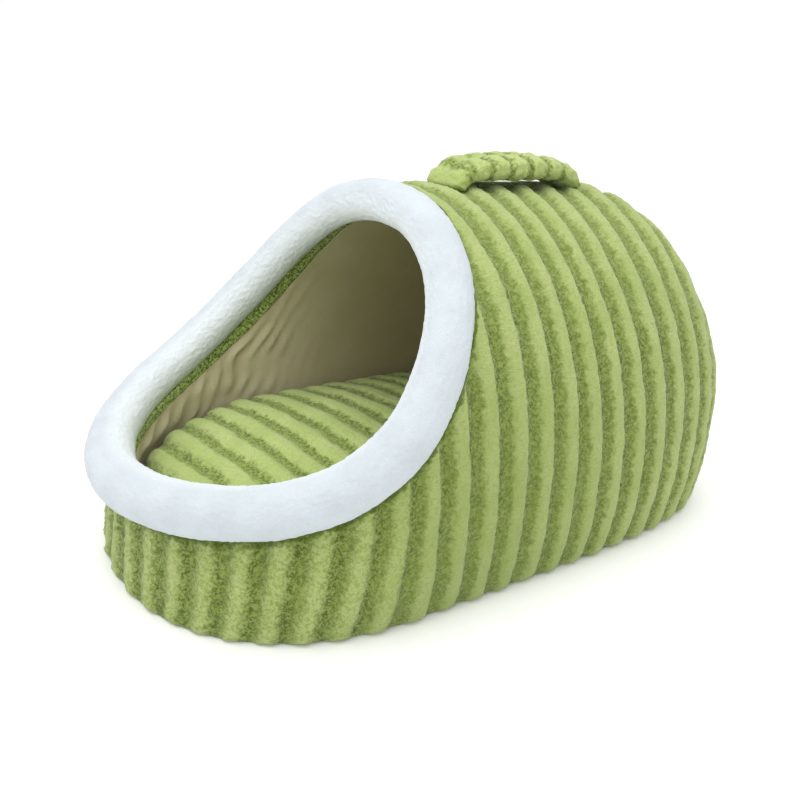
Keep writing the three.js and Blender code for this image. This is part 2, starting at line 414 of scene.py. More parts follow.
# the part of a column below the stuffed roll
def trimAtRoll(line, tuck):
    gaps = gapToRoll(place(line))
    hit = np.nonzero(gaps < tuck)[0]
    if not len(hit):
        return line
    i = hit[0]
    share = (gaps[i - 1] - tuck) / (gaps[i - 1] - gaps[i])
    return np.concatenate([line[:i], [line[i - 1] + (line[i] - line[i - 1]) * share]])


# the part of a column that lies behind a cut of the mouth's side view
def trimAtCut(line, inset, cut):
    placed = place(drawIn(line, inset))
    first = cut[0] + unit(cut[0] - cut[1]) * mouth["cutBeyond"]
    last = cut[-1] + unit(cut[-1] - cut[-2]) * mouth["cutBeyond"]
    edge = np.concatenate([[first], cut, [last]])
    inFront = placed[:, 2] > np.interp(placed[:, 1], edge[:, 0], edge[:, 1])
    hit = np.nonzero(inFront)[0]
    if not len(hit):
        return line
    return line[:max(hit[0], 2)]


# columns resampled to the same number of rows, which neighbours space almost alike; also each
# point's length up its column
def grid(columns, rows):
    ends = np.array([np.linalg.norm(np.diff(line, axis=0), axis=1).sum() for _, line in columns])
    spots = np.array([s for s, _ in columns])
    lengths = (ends - ribs["rowSlope"] * np.abs(spots[:, None] - spots)).max(1)
    plain = np.stack([evenly(line, rows, n) for (_, line), n in zip(columns, lengths)])
    placed = place(plain)
    steps = np.linalg.norm(np.diff(placed, axis=1), axis=2)
    run = np.concatenate([np.zeros((len(columns), 1)), np.cumsum(steps, 1)], 1)
    return plain, run


# normals of a grid of points; at a seam on the middle line they lie in it
def gridNormals(points, seam):
    along = np.gradient(points, axis=0)
    up = np.gradient(points, axis=1)
    for j in range(1, up.shape[1]):
        still = np.linalg.norm(up[:, j], axis=1) < samePlace
        up[still, j] = up[still, j - 1]
    normal = unit(np.cross(along, up))
    normal[seam] *= (0, 1, 1)
    return unit(normal)


def pick(piece):
    bpy.ops.object.select_all(action="DESELECT")
    piece.select_set(True)
    bpy.context.view_layer.objects.active = piece


# merge points nearer than gap and point every face outwards
def tidyMesh(piece, gap=2e-5):
    pick(piece)
    bpy.ops.object.mode_set(mode="EDIT")
    bpy.ops.mesh.select_all(action="SELECT")
    bpy.ops.mesh.remove_doubles(threshold=gap)
    bpy.ops.mesh.dissolve_degenerate(threshold=gap / 2)
    bpy.ops.mesh.normals_make_consistent(inside=False)
    bpy.ops.object.mode_set(mode="OBJECT")
    bpy.ops.object.shade_smooth()


def applyModifiers(piece):
    pick(piece)
    for modifier in list(piece.modifiers):
        bpy.ops.object.modifier_apply(modifier=modifier.name)


def coordinates(piece):
    co = np.empty(len(piece.data.vertices) * 3)
    piece.data.vertices.foreach_get("co", co)
    return co.reshape(-1, 3)


def setCoordinates(piece, co):
    piece.data.vertices.foreach_set("co", np.asarray(co, np.float64).ravel())
    piece.data.update()


def vertexNormals(piece):
    normals = np.empty(len(piece.data.vertices) * 3)
    piece.data.vertices.foreach_get("normal", normals)
    return normals.reshape(-1, 3)


# a value for the material at each vertex
def setPointValue(piece, name, values):
    layer = piece.data.attributes.new(name, "FLOAT", "POINT")
    layer.data.foreach_set("value", values)


# the rib map, from its two values at each vertex, in place of any older map
def setRibMap(piece, phaseAndRun):
    layers = piece.data.uv_layers
    while len(layers):
        layers.remove(layers[0])
    layer = layers.new(name="ribs")
    index = np.empty(len(piece.data.loops), np.int32)
    piece.data.loops.foreach_get("vertex_index", index)
    layer.data.foreach_set("uv", np.asarray(phaseAndRun, np.float32)[index].ravel())


# 0 on a crest and 1 in a groove, and the distance from the crest in pitches; phase counts
# ribs, with a groove at whole numbers
def ribHeight(phase):
    off = np.abs(phase - np.floor(phase) - 0.5)
    crest, edge = ribs["crestShare"], ribs["edgeShare"]
    return smoothStep(off, crest - edge, crest + edge), off


# how far a groove lies ahead of its place by count, in pitches
def driftAt(phase, run, first, last, front):
    low, high = ribs["leanRises"]
    over = np.clip(run - high, 0, None)
    swing = smoothStep(run, low, high) * np.clip(1 - (over / ribs["leanEnds"]) ** 2, 0, 1)
    lean = ribs["lean"] * (1 - smoothStep(phase, *ribs["leanFades"])) * swing
    shift = ribs["shift"] * (1 - smoothStep(phase, *ribs["shiftFades"]))
    atFront = (last - front) * smoothStep(phase, ribs["frontShiftFrom"], front)
    return (lean + shift) * smoothStep(phase, first, 0) + atFront


# the cover's right half as a grid of plain points whose columns follow the ribs
def coverGrid():
    trimmed = []
    for s, line in coverColumns():
        if line[0, 1] < mouth["topAlong"] + ribs["rollNear"]:
            line = trimAtRoll(line, ribs["tuck"])
        trimmed.append((s, line))
    plain, run = grid(trimmed, ribs["rows"])
    counted = (np.array([s for s, _ in trimmed]) - ribs["firstGroove"]) / ribs["pitch"]
    first, last = counted[0], counted[-1]
    front = round(2 * (last - ribs["frontShift"])) / 2
    phase = np.interp(counted, [first, 0, last], [first, 0, front])[:, None] + 0 * run

    def sampled(values, want):
        lines = (np.interp(want[:, j], counted, values[:, j]) for j in range(ribs["rows"]))
        return np.stack(list(lines), 1)

    drift = driftAt(phase, sampled(run, phase), first, last, front)
    want = np.maximum.accumulate(np.clip(phase + drift, first, last), 0)
    moved = np.stack([sampled(plain[..., k], want) for k in range(3)], -1)
    return moved, sampled(run, want), phase


# a closed wall whose right and left faces differ; back is the right half's other side
def pairedShell(name, halves, back, closedTop, ribMap):
    points, faces, coords = [], [], []
    cols, rows = ribMap.shape[:2]
    backRows = back.shape[1]
    pitchesUp = 5  # the hidden side's map needs no true lengths
    hidden = np.stack([
        np.repeat(ribMap[:, 0, 0], backRows),
        np.tile(np.linspace(0, pitchesUp, backRows), cols),
    ], -1)
    for side, front in zip((1, -1), halves):
        base = len(points)
        points.extend(front.reshape(-1, 3))
        points.extend((back * (side, 1, 1)).reshape(-1, 3))
        coords.extend(ribMap.reshape(-1, 2))
        coords.extend(hidden)
        behind = base + cols * rows
        for i in range(cols - 1):
            for j in range(rows - 1):
                a = base + i * rows + j
                faces.append((a, a + 1, a + rows + 1, a + rows))
            for j in range(backRows - 1):
                a = behind + i * backRows + j
                faces.append((a, a + backRows, a + backRows + 1, a + 1))
            a, b = base + i * rows, behind + i * backRows
            faces.append((a, a + rows, b + backRows, b))
            if not closedTop[i] or not closedTop[i + 1]:
                a, b = a + rows - 1, b + backRows - 1
                faces.append((a, b, b + backRows, a + rows))
    mesh = bpy.data.meshes.new(name)
    mesh.from_pydata([tuple(p) for p in points], [], [tuple(map(int, f)) for f in faces])
    mesh.update()
    piece = bpy.data.objects.new(name, mesh)
    bpy.context.collection.objects.link(piece)
    setRibMap(piece, coords)
    return piece


# which columns end on the middle line, and which points of the grid lie on it
def seamsOf(plain):
    closedTop = np.abs(plain[:, -1, 0]) < onMiddle
    closedTop[-1] = False
    seam = closedTop[:, None] & (np.abs(plain[..., 0]) < onMiddle)
    seam[-1, :] = True
    return closedTop, seam


# gridNormals pointing outwards, as judged halfway along the grid at one row
def outwardNormals(points, seam, row):
    normal = gridNormals(points, seam)
    return normal if normal[len(normal) // 2, row, 0] > 0 else -normal


# the foot of a wall, rounded in to the floor
def turnedUnder(half, normal):
    turn = ribs["footTurn"]
    short = np.clip(turn - half[..., 2], 0, turn)
    under = turn - np.sqrt(np.maximum(turn ** 2 - short ** 2, 0))
    half = half - unit(normal * (1, 1, 0)) * under[..., None]
    half[..., 2] = np.maximum(half[..., 2], 0)
    return half


def makeCover():
    plain, run, phase = coverGrid()
    closedTop, seam = seamsOf(plain)
    smooth = place(plain)
    normal = outwardNormals(smooth, seam, row=10)
    sideways = unit(np.gradient(smooth, axis=0))
    sideways[seam] *= (0, 1, 1)
    groove, off = ribHeight(phase)
    low = np.clip(run / ribs["footFade"], 0, 1)
    fade = low * np.clip((phase - phase[0, 0]) / ribs["rearFade"], 0, 1)
    atFront = smoothStep(phase, *ribs["frontSoft"])
    dip = ribs["depth"] * groove * (1 - ribs["frontShallow"] * atFront)
    dip = dip + ribs["round"] * (2 * off) ** 2
    looping = ribs["crestLoops"] + (1 - ribs["crestLoops"]) * np.maximum(groove, atFront)
    halves = []
    for side in (1, -1):
        mirror = (side, 1, 1)
        half = smooth * mirror
        # ribs wander a little, and the looped pile in the grooves is lumpy
        wander = ribs["wander"] * noiseOf(half, ribs["wanderNoise"])
        wander[-1] = 0
        looped = ribs["loops"] * looping * noiseOf(half, ribs["loopNoise"])
        lumps = noiseOf(half, ribs["lumpNoise"]) + looped - ribs["pile"]
        half = half + sideways * mirror * (wander * fade)[..., None]
        half = half - normal * mirror * (dip * fade + lumps * low)[..., None]
        half = turnedUnder(half, normal * mirror)
        half[seam, 0] = 0
        halves.append(half)
    inner = np.stack([evenly(line, ribs["innerRows"]) for line in plain])
    inner = place(drawIn(inner, form["wall"]))
    inner[closedTop, -1, 0] = 0
    inner[-1, :, 0] = 0
    ribMap = np.stack([phase, run / ribs["pitch"]], -1)
    piece = pairedShell("outerCover", halves, inner, closedTop, ribMap)
    # metres from the edge under the roll, or one metre where there is none
    below = np.where(closedTop[:, None], 1.0, run[:, -1:] - run)
    hidden = np.ones(inner.shape[:2])
    setPointValue(piece, "hem", np.tile(np.concatenate([below.ravel(), hidden.ravel()]), 2))
    tidyMesh(piece)
    return piece


outerCover = makeCover()
print("cover", len(outerCover.data.polygons), "faces")

# Materials, each worked out from the piece's own rib map and its place.


def newMaterial(name):
    material = bpy.data.materials.new(name)
    material.use_nodes = True
    nodes = material.node_tree.nodes
    nodes.clear()
    output = nodes.new("ShaderNodeOutputMaterial")
    shader = nodes.new("ShaderNodeBsdfPrincipled")
    material.node_tree.links.new(shader.outputs["BSDF"], output.inputs["Surface"])
    return material, shader


def addNode(material, kind, inputs=None, **settings):
    made = material.node_tree.nodes.new(kind)
    for key, value in settings.items():
        setattr(made, key, value)
    for key, value in (inputs or {}).items():
        if isinstance(value, bpy.types.NodeSocket):
            material.node_tree.links.new(value, made.inputs[key])
        else:
            made.inputs[key].default_value = value
    return made


def maths(material, operation, first, second=0.0, third=0.0):
    made = addNode(material, "ShaderNodeMath", {0: first, 1: second, 2: third}, operation=operation)
    return made.outputs[0]


def ranged(material, value, low, high, toLow=0.0, toHigh=1.0):
    made = addNode(
        material, "ShaderNodeMapRange",
        {"Value": value, "From Min": low, "From Max": high, "To Min": toLow, "To Max": toHigh},
        interpolation_type="SMOOTHSTEP",
    )
    return made.outputs["Result"]


def mixed(material, factor, first, second):
    made = addNode(material, "ShaderNodeMix", data_type="RGBA")
    for key, value in (("Factor", factor), ("A", first), ("B", second)):
        socket = [s for s in made.inputs if s.name == key and s.enabled][0]
        if isinstance(value, bpy.types.NodeSocket):
            material.node_tree.links.new(value, socket)
        else:
            socket.default_value = value if key == "Factor" else (*value, 1)
    return [s for s in made.outputs if s.enabled][0]


def grain(material, where, size, detail=2.0, rough=0.5, distortion=0.0):
    made = addNode(
        material, "ShaderNodeTexNoise",
        {"Vector": where, "Scale": 1 / size, "Detail": detail, "Roughness": rough,
         "Distortion": distortion},
    )
    return made.outputs["Fac"]


def objectPlace(material):
    return addNode(material, "ShaderNodeTexCoord").outputs["Object"]


def axisOf(material, vector, axis):
    return addNode(material, "ShaderNodeSeparateXYZ", {"Vector": vector}).outputs[axis]


def pointValue(material, name):
    return addNode(material, "ShaderNodeAttribute", attribute_name=name).outputs["Fac"]


# each shader socket whose value a cloth gives, with its name in the cloth's dictionary
clothSockets = {
    "Roughness": "roughness",
    "Specular IOR Level": "specular",
    "Sheen Weight": "sheen",
    "Sheen Roughness": "sheenRoughness",
}


def setCloth(material, shader, tone, height, look):
    links = material.node_tree.links
    links.new(tone, shader.inputs["Base Color"])
    bump = addNode(
        material, "ShaderNodeBump",
        {"Height": height, "Strength": look["bumpStrength"], "Distance": look["bump"]},
    )
    links.new(bump.outputs["Normal"], shader.inputs["Normal"])
    for socket, key in clothSockets.items():
        shader.inputs[socket].default_value = look[key]


# Green plush. Grains are size, detail, roughness and distortion. Ranges are from, to and, where
# it isn't 0 to 1, what they become.
plush = {
    "tones": ("pale", "paleTop", "streak", "shade", "deep", "lower"),
    "pale": (0.33, 0.405, 0.135),
    "paleTop": (0.39, 0.46, 0.18),
    "streak": (0.27, 0.345, 0.09),
    # shade and deep are tones of painted shade, for grooves, hollows in the pile and the band under
    # the roll; lower is painted shade on the sides near the floor
    "shade": (0.235, 0.305, 0.066),
    "deep": (0.06, 0.093, 0.004),
    "lower": (0.16, 0.22, 0.03),
    "fine": (0.0014, 3.0, 0.6),
    "loops": (0.0025, 2.0, 0.6, 0.8),
    "loopShare": 0.65,
    "speckled": (0.40, 0.60),
    "soft": (0.03, 2.0),
    "softened": (0.3, 0.7),
    "wobble": (0.0045, 2.0),
    "sway": (0.022, 1.0),
    "fibre": (1.0, 2.0),
    "fibreStretch": (5, 26, 1),
    "streaked": (0.35, 0.7, 0.0, 0.55),
    "lowPileShade": (0.34, 0.53, 0.5, 0.0),
    "litSide": (0.74, 0.28),
    "lit": 0.4,
    "relief": 0.7,
    "grooveRelief": 0.5,
    "bump": 0.0022,
    "bumpStrength": 1.0,
    "roughness": 0.95,
    "specular": 0.1,
    "sheen": 0.2,
    "sheenRoughness": 0.5,
}


# the plush's tones scaled by light; a light above 1 is painted light, a brighter copy of the same
# plush
def plushTones(light):
    return {key: tuple(light * v for v in plush[key]) for key in plush["tones"]}


# the looped pile, and its specks, darker where the pile is low: partly its own mottling, partly
# painted shade in its hollows
def loopedPile(material, here):
    fine = grain(material, here, *plush["fine"])
    loops = grain(material, here, *plush["loops"])
    share = plush["loopShare"]
    loops = maths(material, "MULTIPLY", loops, share)
    pile = maths(material, "MULTIPLY_ADD", fine, 1 - share, loops)
    return pile, ranged(material, pile, *plush["speckled"])


# across a rib with ragged edges: how far from its crest, its own count, and the wobble in both
def acrossRib(material, here, ribMap, ragged):
    phase = axisOf(material, ribMap, "X")
    wobble = maths(material, "SUBTRACT", grain(material, here, *plush["wobble"]), 0.5)
    sway = maths(material, "SUBTRACT", grain(material, here, *plush["sway"]), 0.5)
    moved = maths(material, "MULTIPLY_ADD", wobble, ragged * 2, phase)
    moved = maths(material, "MULTIPLY_ADD", sway, ragged, moved)
    wrapped = maths(material, "FRACT", moved)
    off = maths(material, "ABSOLUTE", maths(material, "SUBTRACT", wrapped, 0.5))
    return off, wrapped, wobble


# a pale rib, brushed in streaks across, with painted shade in specks where its pile is low
def ribTone(material, tones, here, ribMap, pile):
    soft = ranged(material, grain(material, here, *plush["soft"]), *plush["softened"])
    tone = mixed(material, soft, tones["pale"], tones["paleTop"])
    brushed = {"Vector": ribMap, "Scale": plush["fibreStretch"]}
    brushed = addNode(material, "ShaderNodeMapping", brushed).outputs["Vector"]
    streaks = ranged(material, grain(material, brushed, *plush["fibre"]), *plush["streaked"])
    tone = mixed(material, streaks, tone, tones["streak"])
    # painted shade: darker specks where the pile is low
    return mixed(material, ranged(material, pile, *plush["lowPileShade"]), tone, tones["shade"])


# a looped groove, partly its own darker pile and partly painted shade, darkest against the next
# rib, with painted light towards the rib before it
def grooveTone(material, tones, speckle, wrapped):
    near = maths(material, "FRACT", maths(material, "ADD", wrapped, 0.5))
    lit = maths(material, "MULTIPLY", ranged(material, near, *plush["litSide"]), plush["lit"])
    # painted shade in the groove, from deep to shade by the pile's specks
    tone = mixed(material, speckle, tones["deep"], tones["shade"])
    return mixed(material, lit, tone, tones["streak"])


def setPlush(material, shader, tone, pile, inGroove):
    deeper = maths(material, "MULTIPLY_ADD", inGroove, plush["grooveRelief"], plush["relief"])
    relief = maths(material, "MULTIPLY", pile, deeper)
    setCloth(material, shader, tone, relief, plush)


# green plush with pale ribs and darker grooves, the grooves partly painted shade; crest and edge
# are the pale share of half a rib and how softly it ends, and light scales its tones as painted
# light
def ribbedPlush(name, crest, edge, ragged, light):
    material, shader = newMaterial(name)
    tones = plushTones(light)
    here = objectPlace(material)
    ribMap = addNode(material, "ShaderNodeUVMap", uv_map="ribs").outputs["UV"]
    pile, speckle = loopedPile(material, here)
    off, wrapped, _ = acrossRib(material, here, ribMap, ragged)
    pale = ribTone(material, tones, here, ribMap, pile)
    dark = grooveTone(material, tones, speckle, wrapped)
    inGroove = ranged(material, off, crest - edge, crest + edge)
    setPlush(material, shader, mixed(material, inGroove, pale, dark), pile, inGroove)
    return material


# The cover's plush. Its low front wall is looped all over, with softer ribs. Painted light makes
# its grooves paler near the top, and painted shade darkens its sides towards the floor.
coverLook = {
    "crest": 0.26,
    "edge": 0.08,
    "ragged": 0.15,
    "front": (-0.06, -0.15),
    "frontLow": -0.13,
    "frontHigh": 0.08,
    "frontLoops": 0.7,
    # painted light: grooves paler near the top of the bed
    "groovesLitHigh": (0.14, 0.23, 0.0, 0.3),
    "sidesStart": (-0.14, -0.06),
    "sidesEnd": (0.15, -0.02, 0.1, 1.0),
    # painted shade on the sides near the floor
    "lower": (0.2, 0.05, 0.0, 0.3),
    "hemRagged": 0.012,
    "hem": (0.0085, 0.003, 0.0, 0.85),
}


# the groove's share on the cover, whose ribs get wider edges towards the front
def coverGrooves(material, off, atFront):
    low, high = coverLook["crest"] - coverLook["edge"], coverLook["crest"] + coverLook["edge"]
    low = maths(material, "MULTIPLY_ADD", atFront, coverLook["frontLow"], low)
    high = maths(material, "MULTIPLY_ADD", atFront, coverLook["frontHigh"], high)
    return ranged(material, off, low, high)


def coverPlush():
    material, shader = newMaterial("coverPlush")
    tones = plushTones(1.0)
    here = objectPlace(material)
    along, height = axisOf(material, here, "Y"), axisOf(material, here, "Z")
    ribMap = addNode(material, "ShaderNodeUVMap", uv_map="ribs").outputs["UV"]
    pile, speckle = loopedPile(material, here)
    off, wrapped, wobble = acrossRib(material, here, ribMap, coverLook["ragged"])
    atFront = ranged(material, along, *coverLook["front"])
    inGroove = coverGrooves(material, off, atFront)
    looping = maths(material, "MULTIPLY", atFront, coverLook["frontLoops"])
    looped = mixed(material, speckle, tones["shade"], tones["paleTop"])
    pale = mixed(material, looping, ribTone(material, tones, here, ribMap, pile), looped)
    # painted light: the grooves paler near the top of the bed, where more light falls
    high = ranged(material, height, *coverLook["groovesLitHigh"])
    dark = mixed(material, high, grooveTone(material, tones, speckle, wrapped), tones["streak"])
    tone = mixed(material, inGroove, pale, dark)
    # painted shade: the sides darker towards the floor, mixed toward the tone lower
    sides = ranged(material, along, *coverLook["sidesStart"])
    sides = maths(material, "MULTIPLY", sides, ranged(material, along, *coverLook["sidesEnd"]))
    lower = maths(material, "MULTIPLY", ranged(material, height, *coverLook["lower"]), sides)
    tone = mixed(material, lower, tone, tones["lower"])
    # a shadow of pile under the roll
    hem = pointValue(material, "hem")
    hem = maths(material, "MULTIPLY_ADD", wobble, coverLook["hemRagged"], hem)
    tone = mixed(material, ranged(material, hem, *coverLook["hem"]), tone, tones["deep"])
    setPlush(material, shader, tone, pile, inGroove)
    return material


outerCover.data.materials.append(coverPlush())
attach(outerCover, "root")
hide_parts("outer_cover")

# The stuffed roll round the mouth.
roll = {
    "around": 256,
    "section": 56,
    "ringRadius": 0.2,
    "lump": 0.0007,
    "lumpNoise": ((1.0, 0.03, 5), (0.35, 0.011, 6)),
    "fuzz": 0.0005,
    "fuzzNoise": ((1.0, 0.0025, 14),),
    "regain": 0.0002,
    "thinner": 0.07,
    "thinnerFrom": (0.12, 0.19),
}


# outward and sideways directions at each point of a closed line
def ringFrames(line):
    ahead = unit(np.roll(line, -1, 0) - np.roll(line, 1, 0))
    outward = line - line.mean(0)
    outward = unit(outward - ahead * (outward * ahead).sum(1)[:, None])
    return outward, np.cross(ahead, outward)


def makeRoll():
    radius = mouth["rollRadius"]
    bpy.ops.mesh.primitive_torus_add(
        major_segments=roll["around"], minor_segments=roll["section"],
        major_radius=roll["ringRadius"], minor_radius=radius,
    )
    piece = bpy.context.object
    piece.name = "rimRoll"
    co = coordinates(piece)
    turn = (np.arctan2(co[:, 1], co[:, 0]) / (2 * math.pi)) % 1
    across = np.hypot(co[:, 0], co[:, 1]) - roll["ringRadius"]
    line = mouthLine(roll["around"])
    outward, sideways = ringFrames(line)
    index = np.rint(turn * roll["around"]).astype(int) % roll["around"]
    # how far in towards the mouth each point lies, which the material uses for painted light
    setPointValue(piece, "inward", -across / radius)
    # the roll is pulled a little thinner where it climbs to the ridge
    size = 1 - roll["thinner"] * smoothStep(line[index, 2], *roll["thinnerFrom"])
    moved = line[index] + outward[index] * (across * size)[:, None]
    moved += sideways[index] * (co[:, 2] * size)[:, None]
    setCoordinates(piece, moved)
    finer = piece.modifiers.new("finer", "SUBSURF")
    finer.levels = finer.render_levels = 1
    applyModifiers(piece)
    co = coordinates(piece)
    away = vertexNormals(piece)
    swell = roll["lump"] * noiseOf(co, roll["lumpNoise"])
    swell += roll["fuzz"] * noiseOf(co, roll["fuzzNoise"]) + roll["regain"]
    setCoordinates(piece, co + away * swell[:, None])
    tidyMesh(piece)
    return piece


# The side of the roll towards the mouth is painted whiter, as painted light.
white = {
    "low": (0.51, 0.555, 0.585),
    "high": (0.55, 0.60, 0.63),
    # painted light on the side towards the mouth
    "inner": (0.75, 0.79, 0.81),
    "shade": (0.43, 0.475, 0.51),
    "soft": (0.02, 2.0),
    "softened": (0.3, 0.7),
    "fine": (0.0013, 3.0, 0.6),
    "shaded": (0.2, 0.6, 0.35, 0.0),
    "inward": (0.15, 1.15),
    "bump": 0.0012,
    "bumpStrength": 0.5,
    "roughness": 0.92,
    "specular": 0.15,
    "sheen": 0.15,
    "sheenRoughness": 0.5,
}


def whitePlush():
    material, shader = newMaterial("whitePlush")
    here = objectPlace(material)
    fine = grain(material, here, *white["fine"])
    soft = ranged(material, grain(material, here, *white["soft"]), *white["softened"])
    tone = mixed(material, soft, white["low"], white["high"])
    tone = mixed(material, ranged(material, fine, *white["shaded"]), tone, white["shade"])
    # painted light: whiter on the side towards the mouth
    inward = ranged(material, pointValue(material, "inward"), *white["inward"])
    tone = mixed(material, inward, tone, white["inner"])
    setCloth(material, shader, tone, fine, white)
    return material


rimRoll = makeRoll()
rimRoll.data.materials.append(whitePlush())
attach(rimRoll, "root")
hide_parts("rim_roll")
print("roll", len(rimRoll.data.polygons), "faces")

# Cloth inside the tunnel: the lining, and the plush strip between it and the roll. The lining
# is smooth at the rear and gathers in soft upright folds towards the front.
inside = {
    "gap": 0.0003,
    "liningThick": 0.002,
    "facingThick": 0.0027,
    "lowEdge": 0.0056,
    "low": 0.03,  # lines that end lower than this keep their foot
    "reach": (0.0180, 0.0275),  # from the roll's middle back to the lining, low and at the top
    "columnStep": 2,
    "liningRows": 80,
    "facingRows": 14,
    "backRows": 8,
    "dents": ((0.0008, 0.005, 7),),
    "foldPitch": 0.0145,
    "foldDepth": 0.0042,
    "foldLean": -0.5,
    "foldWander": ((0.8, 0.05, 8), (0.2, 0.018, 15)),
    "foldMean": 0.5,
    "foldUneven": ((1.1, 0.024, 9),),
    "foldLimits": (0.1, 1.2),
    "creases": ((0.0006, 0.009, 16),),
    "rearShare": 0.04,
    "frontRange": (0.0, 0.09),
    "footRange": (0.039, 0.059),
    "edgeFade": 0.012,
    "edgeShare": 0.15,
}


def everySecondLine():
    columns = coverColumns()
    picked = columns[::inside["columnStep"]]
    if picked[-1] is not columns[-1]:
        picked.append(columns[-1])
    return picked


innerLines = everySecondLine()
innerDepth = form["wall"] + inside["gap"]


# the lines below the cut, or with facing the parts from the cut to the roll
def insideColumns(facing):
    cut = sideCut(np.array(inside["reach"]) + (0 if facing else inside["gap"]))
    made = []
    for s, line in innerLines:
        if line[-1, 2] > inside["low"]:
            line = line[np.searchsorted(line[:, 2], inside["lowEdge"]):]
        below = trimAtCut(line, innerDepth, cut)
        if not facing:
            made.append((s, below))
            continue
        if len(below) == len(line):
            continue
        rest = line[len(below) - 1:]
        hit = np.nonzero(gapToRoll(place(drawIn(rest, innerDepth))) < ribs["tuck"])[0]
        if len(hit):
            rest = rest[:max(hit[0], 2)]
        if len(rest) > 2:
            made.append((s, rest))
    return made


def foldsAt(half, run):
    along = half[..., 1] + inside["foldLean"] * half[..., 2]
    count = along / inside["foldPitch"] + noiseOf(half, inside["foldWander"])
    ridge = (0.5 + 0.5 * np.cos(2 * math.pi * count)) ** 2
    uneven = inside["foldMean"] + noiseOf(half, inside["foldUneven"])
    uneven = np.clip(uneven, *inside["foldLimits"])
    atFront = smoothStep(-half[..., 1], *inside["frontRange"])
    front = inside["rearShare"] + (1 - inside["rearShare"]) * atFront
    left = (run[:, -1:] - run) / inside["edgeFade"]
    edge = smoothStep(half[..., 2], *inside["footRange"]) * np.clip(left, inside["edgeShare"], 1)
    folds = inside["foldDepth"] * ridge * uneven + noiseOf(half, inside["creases"])
    return folds * front * edge


def makeInside(name, facing):
    columns = insideColumns(facing)
    rows = inside["facingRows"] if facing else inside["liningRows"]
    thick = inside["facingThick"] if facing else inside["liningThick"]
    plain, run = grid(columns, rows)
    closedTop, seam = seamsOf(plain)
    face = place(drawIn(plain, innerDepth + thick))
    normal = outwardNormals(face, seam, row=3)
    back = np.stack([evenly(line, inside["backRows"]) for _, line in columns])
    back = place(drawIn(back, innerDepth))
    halves = []
    for side in (1, -1):
        half = face * (side, 1, 1)
        dip = noiseOf(half, inside["dents"]) if facing else foldsAt(half, run)
        dip = np.where(seam, 0, dip)
        halves.append(half - normal * (side, 1, 1) * dip[..., None])
    ribMap = np.stack([0 * run, run / ribs["pitch"]], -1)
    piece = pairedShell(name, halves, back, closedTop, ribMap)
    tidyMesh(piece)
    return piece


cloth = {
    "low": (0.60, 0.535, 0.355),
    "high": (0.67, 0.605, 0.425),
    "shade": (0.49, 0.43, 0.27),
    # painted shade deeper in the tunnel
    "rear": (0.40, 0.355, 0.18),
    "soft": (0.03, 3.0),
    "softened": (0.3, 0.7),
    "fine": (0.0012, 2.0),
    "woven": (0.3, 0.7, 0.0, 0.3),
    "rearward": (-0.09, 0.06, 0.0, 0.6),
    "bump": 0.0005,
    "bumpStrength": 0.25,
    "roughness": 0.85,
    "specular": 0.15,
    "sheen": 0.1,
    "sheenRoughness": 0.5,
}


def liningCloth():
    material, shader = newMaterial("liningCloth")
    here = objectPlace(material)
    soft = ranged(material, grain(material, here, *cloth["soft"]), *cloth["softened"])
    fine = grain(material, here, *cloth["fine"])
    tone = mixed(material, soft, cloth["low"], cloth["high"])
    tone = mixed(material, ranged(material, fine, *cloth["woven"]), tone, cloth["shade"])
    # painted shade: darker towards the rear of the tunnel
    rearward = ranged(material, axisOf(material, here, "Y"), *cloth["rearward"])
    tone = mixed(material, rearward, tone, cloth["rear"])
    setCloth(material, shader, tone, fine, cloth)
    return material


# the same green plush, without ribs, with its tones scaled by light; above 1 that is painted light
def facingPlush(light):
    material, shader = newMaterial("facingPlush")
    tones = plushTones(light)
    pile, speckle = loopedPile(material, objectPlace(material))
    tone = mixed(material, speckle, tones["deep"], tones["pale"])
    setCloth(material, shader, tone, pile, plush)
    return material


# the area of one side of a thin piece
def areaOf(piece):
    return sum(face.area for face in piece.data.polygons) / 2


tunnelLining = makeInside("tunnelLining", False)
tunnelLining.data.materials.append(liningCloth())
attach(tunnelLining, "root")
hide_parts("lining")
rimFacing = makeInside("rimFacing", True)
# painted light: the facing's plush brightened 1.6 times
rimFacing.data.materials.append(facingPlush(light=1.6))
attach(rimFacing, "root")
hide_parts("rim_facing")
print("lining", len(tunnelLining.data.polygons), "faces", round(areaOf(tunnelLining), 4), "m2")
print("facing", len(rimFacing.data.polygons), "faces", round(areaOf(rimFacing), 4), "m2")

# The loose cushion: the CAD form rounded off, then ribbed across.
pad = {
    "mergeGap": 1e-4,
    "voxel": 0.0045,
    "smoothing": 12,
    "grooveAt": -0.004,
    "turn": 4.0,
    "bend": ((0.1, 0.05, 11),),
    "depth": 0.0020,
    "round": 0.0008,
    "lumps": ((0.0011, 0.025, 12),),
    "loops": ((0.0008, 0.0042, 13),),
    "crestLoops": 0.3,
    "ribsFrom": 0.012,
    "ribsFade": 0.01,
    "floor": 0.0053,
}


# ribs counted along the cushion, slightly turned and bent
def padPhase(co):
    straight = (co[:, 1] - pad["grooveAt"]) / ribs["pitch"] - pad["turn"] * co[:, 0]
    return straight + noiseOf(co, pad["bend"])


